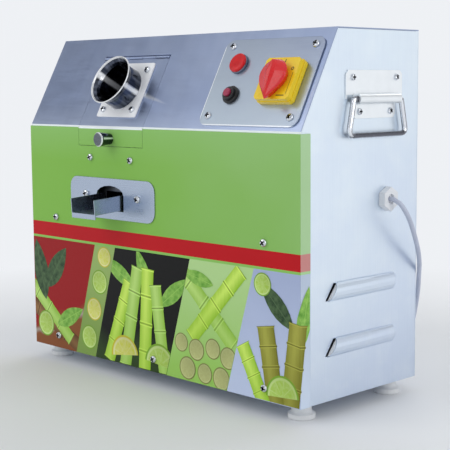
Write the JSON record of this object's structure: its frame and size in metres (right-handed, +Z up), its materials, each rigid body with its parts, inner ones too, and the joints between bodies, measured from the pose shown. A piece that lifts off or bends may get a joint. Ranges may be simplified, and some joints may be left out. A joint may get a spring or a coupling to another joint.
{
  "type": "sugarcane juicer",
  "caption": "Electric sugarcane juicer: sheet-steel cabinet round a belt-driven roller mill, with a feed tube on a hinged hatch, a juice spout, an isolator and folding handles.",
  "frame": {"origin": "centre of the bounding box at the soles of the feet, the cord left out", "axes": "+X to the operator's right, -Y out of the front, +Z up"},
  "size_m": [0.6034, 0.4236, 0.491],
  "materials": {
    "stainless_sheet": "matt ground sheet",
    "printed_cover": "glossy print over sheet steel",
    "bright_steel": "polished",
    "chrome": "mirror bright",
    "machined_steel": "machined",
    "black_steel": "satin black",
    "frame_paint": "satin",
    "drive_paint": "painted casting",
    "bush_brass": "turned",
    "foot_plastic": "moulded",
    "gland_plastic": "moulded",
    "black_plastic": "satin",
    "yellow_plastic": "moulded",
    "red_plastic": "moulded",
    "lamp_metal": "turned",
    "lens_red": "clear tinted",
    "button_red": "moulded",
    "belt_rubber": "ribbed",
    "cord_pvc": "smooth sheath"
  },
  "bodies": {
    "cabinet": {"side_panel_left": "stainless_sheet", "side_panel_right": "stainless_sheet", "upper_shell": "stainless_sheet", "back_panel": "stainless_sheet", "base_plate": "stainless_sheet", "hatch_hinge_leaf": "stainless_sheet", "outlet_plate": "stainless_sheet", "juice_spout": "stainless_sheet", "juice_tray": "stainless_sheet", "control_plate": "stainless_sheet", "bagasse_chute": "stainless_sheet", "front_cover": "printed_cover", "hatch_hinge_pin": "bright_steel", "handle_plate_left": "bright_steel", "handle_plate_right": "bright_steel", "mill_plate_left": "machined_steel", "mill_plate_right": "machined_steel", "trash_plate": "machined_steel", "hatch_catch": "black_steel", "support_frame": "frame_paint", "gearbox": "drive_paint", "motor": "drive_paint", "top_bush_left": "bush_brass", "top_bush_right": "bush_brass", "front_bush_left": "bush_brass", "front_bush_right": "bush_brass", "rear_bush_left": "bush_brass", "rear_bush_right": "bush_brass", "foot_front_left": "foot_plastic", "foot_front_right": "foot_plastic", "foot_rear_left": "foot_plastic", "foot_rear_right": "foot_plastic", "cable_gland": "gland_plastic", "gland_locknut": "gland_plastic", "isolator_body": "black_plastic", "reset_body": "black_plastic", "power_plug": "black_plastic", "isolator_base": "yellow_plastic", "pilot_lamp_body": "lamp_metal", "pilot_lamp_lens": "lens_red", "drive_belt": "belt_rubber", "power_cord": "cord_pvc", "power_cord_coil": "cord_pvc"},
    "hatch": {"feed_hatch": "stainless_sheet", "feed_tube": "bright_steel", "hatch_knob": "chrome"},
    "isolator_knob": {"isolator_handle": "red_plastic"},
    "reset_plunger": {"reset_button": "button_red"},
    "bail_right": {"handle_bail_right": "chrome"},
    "bail_left": {"handle_bail_left": "chrome"},
    "rotor": {"motor_rotor": "machined_steel"},
    "reducer_input": {"gearbox_pulley": "machined_steel"},
    "top_roller_set": {"top_roller": "bright_steel", "top_gear": "machined_steel", "gearbox_output_shaft": "machined_steel"},
    "front_roller_set": {"front_roller": "bright_steel", "front_gear": "machined_steel"},
    "rear_roller_set": {"rear_roller": "bright_steel", "rear_gear": "machined_steel"}
  },
  "joints": [
    {"name": "hatch_hinge", "type": "hinge", "parent": "cabinet", "child": "hatch", "pos_m": [0, -0.05853, 0.46027], "axis": [-1, 0, 0], "range_deg": [0, 95]},
    {"name": "isolator_turn", "type": "hinge", "parent": "cabinet", "child": "isolator_knob", "pos_m": [0.2248, -0.08073, 0.42093], "axis": [0, 0.8805, -0.4741], "range_deg": [0, 90]},
    {"name": "reset_press", "type": "slide", "parent": "cabinet", "child": "reset_plunger", "axis": [0, 0.8805, -0.4741], "range_m": [0, 0.003], "stiffness_N_per_m": 400},
    {"name": "bail_right_swing", "type": "hinge", "parent": "cabinet", "child": "bail_right", "pos_m": [0.2857, 0.0285, 0.402], "axis": [0, -1, 0], "range_deg": [0, 90]},
    {"name": "bail_left_swing", "type": "hinge", "parent": "cabinet", "child": "bail_left", "pos_m": [-0.2857, 0.0285, 0.402], "axis": [0, 1, 0], "range_deg": [0, 90]},
    {"name": "motor_spin", "type": "hinge", "parent": "cabinet", "child": "rotor", "pos_m": [0, 0.01068, 0.1013], "axis": [1, 0, 0], "continuous": true},
    {"name": "reducer_input_spin", "type": "hinge", "parent": "cabinet", "child": "reducer_input", "pos_m": [0, 0.01068, 0.30661], "axis": [1, 0, 0], "continuous": true},
    {"name": "top_roller_spin", "type": "hinge", "parent": "cabinet", "child": "top_roller_set", "pos_m": [0, 0.01068, 0.39661], "axis": [1, 0, 0], "continuous": true},
    {"name": "front_roller_spin", "type": "hinge", "parent": "cabinet", "child": "front_roller_set", "pos_m": [0, -0.03834, 0.35547], "axis": [1, 0, 0], "continuous": true},
    {"name": "rear_roller_spin", "type": "hinge", "parent": "cabinet", "child": "rear_roller_set", "pos_m": [0, 0.03773, 0.33861], "axis": [1, 0, 0], "continuous": true}
  ],
  "couplings": [
    {"joint": "reducer_input_spin", "follows": "motor_spin", "ratio": 0.5},
    {"joint": "top_roller_spin", "follows": "motor_spin", "ratio": 0.025},
    {"joint": "front_roller_spin", "follows": "motor_spin", "ratio": -0.025},
    {"joint": "rear_roller_spin", "follows": "motor_spin", "ratio": -0.025}
  ]
}
